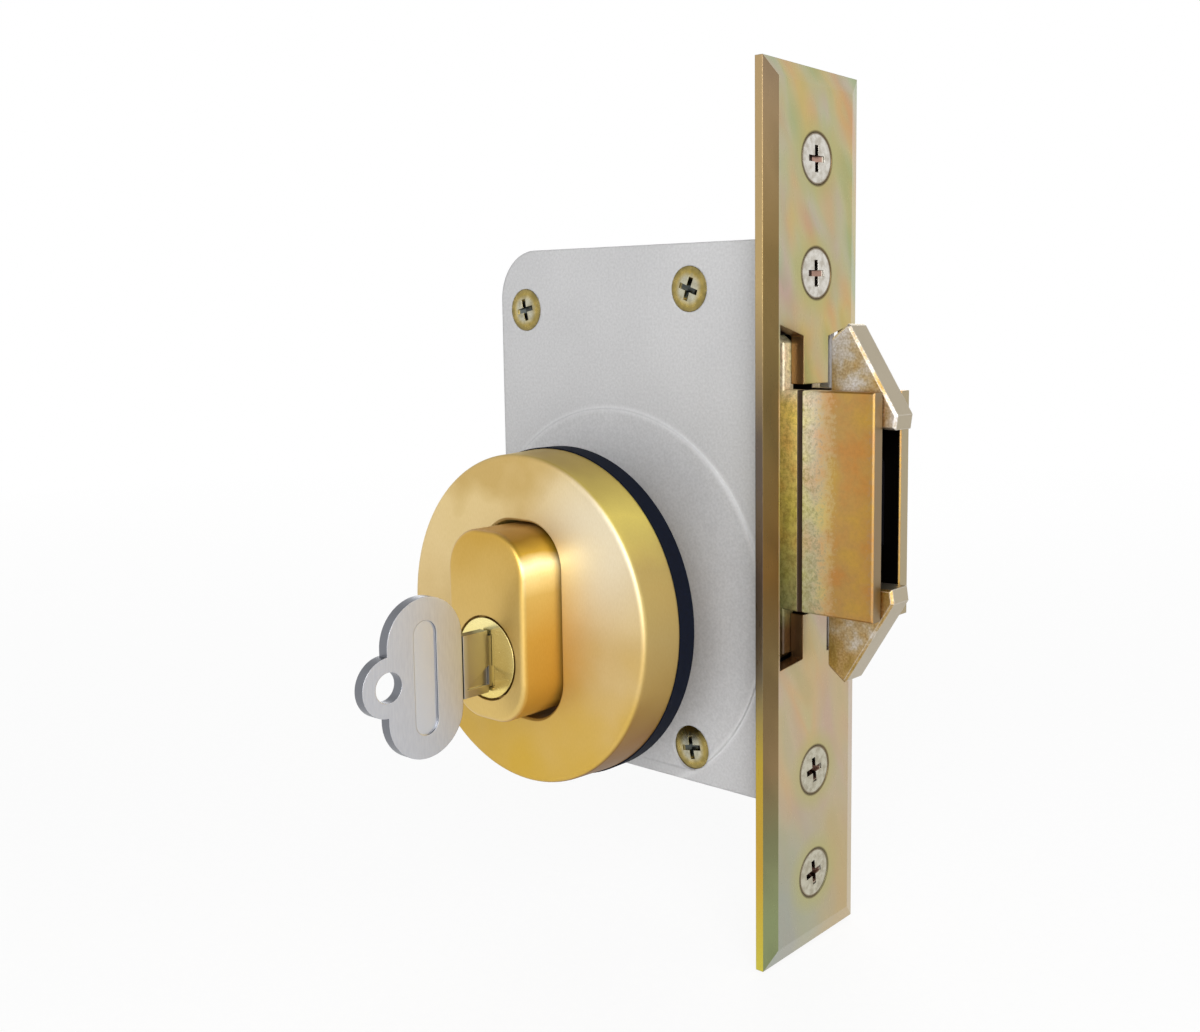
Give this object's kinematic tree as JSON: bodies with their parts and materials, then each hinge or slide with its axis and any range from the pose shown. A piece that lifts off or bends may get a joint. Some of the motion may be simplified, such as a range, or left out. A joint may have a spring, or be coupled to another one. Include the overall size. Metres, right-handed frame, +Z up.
{
  "type": "mortice claw lock",
  "caption": "Mortice lock with a claw bolt, long bevelled faceplate, round escutcheon on spacer posts and an oval key cylinder; turning the key folds the claws and draws the bolt in.",
  "frame": {"origin": "centre of the faceplate's back face, where the plate meets the door's edge", "axes": "+X the way the bolt is thrown, -Y the key and escutcheon side, +Z up"},
  "size_m": [0.0929, 0.0857, 0.165],
  "materials": {
    "case_zinc": "satin zinc plate",
    "yellow_passivate": "yellow passivated zinc, faintly iridescent",
    "bolt_gold": "yellow passivated zinc, brushed",
    "claw_steel": "cast steel, thin yellow passivate",
    "brass": "brushed",
    "plug_brass": "turned",
    "nickel_silver": "satin",
    "gasket_rubber": "matte black",
    "yellow_screw": "yellow zinc",
    "bright_screw": "bright zinc",
    "inner_steel": "plain machined",
    "black_oxide": "black oxide",
    "spring_steel": "drawn wire"
  },
  "bodies": {
    "case": {"faceplate": "yellow_passivate", "door_screws": "bright_screw", "faceplate_screws": "bright_screw", "case_body": "case_zinc", "case_cover": "case_zinc", "case_screws": "yellow_screw", "case_lugs": "inner_steel", "bolt_guides": "inner_steel", "guide_posts": "inner_steel", "shaft_bushes": "brass", "cylinder_body": "brass", "driver_pins": "inner_steel", "pin_springs": "spring_steel", "chamber_caps": "brass", "cylinder_screws": "bright_screw", "escutcheon": "brass", "escutcheon_gasket": "gasket_rubber", "escutcheon_posts": "inner_steel", "escutcheon_screws": "bright_screw"},
    "plug": {"cylinder_plug": "plug_brass", "plug_clip": "spring_steel", "key_pins": "plug_brass", "plug_tail": "inner_steel", "tail_gear": "inner_steel"},
    "key": {"key": "nickel_silver"},
    "drive": {"drive_shaft": "inner_steel", "drive_gear": "inner_steel", "bar_pinion": "inner_steel", "bolt_pinion": "inner_steel", "shaft_sleeves": "inner_steel"},
    "bolt": {"bolt_near_wall": "bolt_gold", "bolt_far_wall": "bolt_gold", "bolt_spacers": "inner_steel", "claw_pins": "inner_steel"},
    "claw_bar": {"claw_bar": "black_oxide"},
    "top_claw": {"top_claw": "claw_steel"},
    "bottom_claw": {"bottom_claw": "claw_steel"}
  },
  "joints": [
    {"name": "plug_turn", "type": "hinge", "parent": "case", "child": "plug", "pos_m": [-0.0395, 0, -0.02335], "axis": [0, 1, 0], "range_deg": [0, 360]},
    {"name": "key_slide", "type": "slide", "parent": "plug", "child": "key", "axis": [0, -1, 0], "range_m": [0, 0.034]},
    {"name": "drive_turn", "type": "hinge", "parent": "case", "child": "drive", "pos_m": [-0.03406, 0, -0.0135], "axis": [0, 1, 0], "range_deg": [-180, 0]},
    {"name": "bolt_throw", "type": "slide", "parent": "case", "child": "bolt", "axis": [-1, 0, 0], "range_m": [0, 0.01885]},
    {"name": "claw_bar_slide", "type": "slide", "parent": "case", "child": "claw_bar", "axis": [-1, 0, 0], "range_m": [0, 0.02985]},
    {"name": "top_claw_fold", "type": "hinge", "parent": "bolt", "child": "top_claw", "pos_m": [0.0053, 0, 0.021], "axis": [0, 1, 0], "range_deg": [0, 78.75]},
    {"name": "bottom_claw_fold", "type": "hinge", "parent": "bolt", "child": "bottom_claw", "pos_m": [0.0053, 0, -0.012], "axis": [0, -1, 0], "range_deg": [0, 78.75]}
  ],
  "couplings": [
    {"joint": "plug_turn", "follows": "bolt_throw", "rad_per_m": 333.33},
    {"joint": "drive_turn", "follows": "bolt_throw", "rad_per_m": -166.67},
    {"joint": "claw_bar_slide", "follows": "bolt_throw", "ratio": 1.5833},
    {"joint": "top_claw_fold", "follows": "bolt_throw", "rad_per_m": 72.917},
    {"joint": "bottom_claw_fold", "follows": "bolt_throw", "rad_per_m": 72.917}
  ]
}
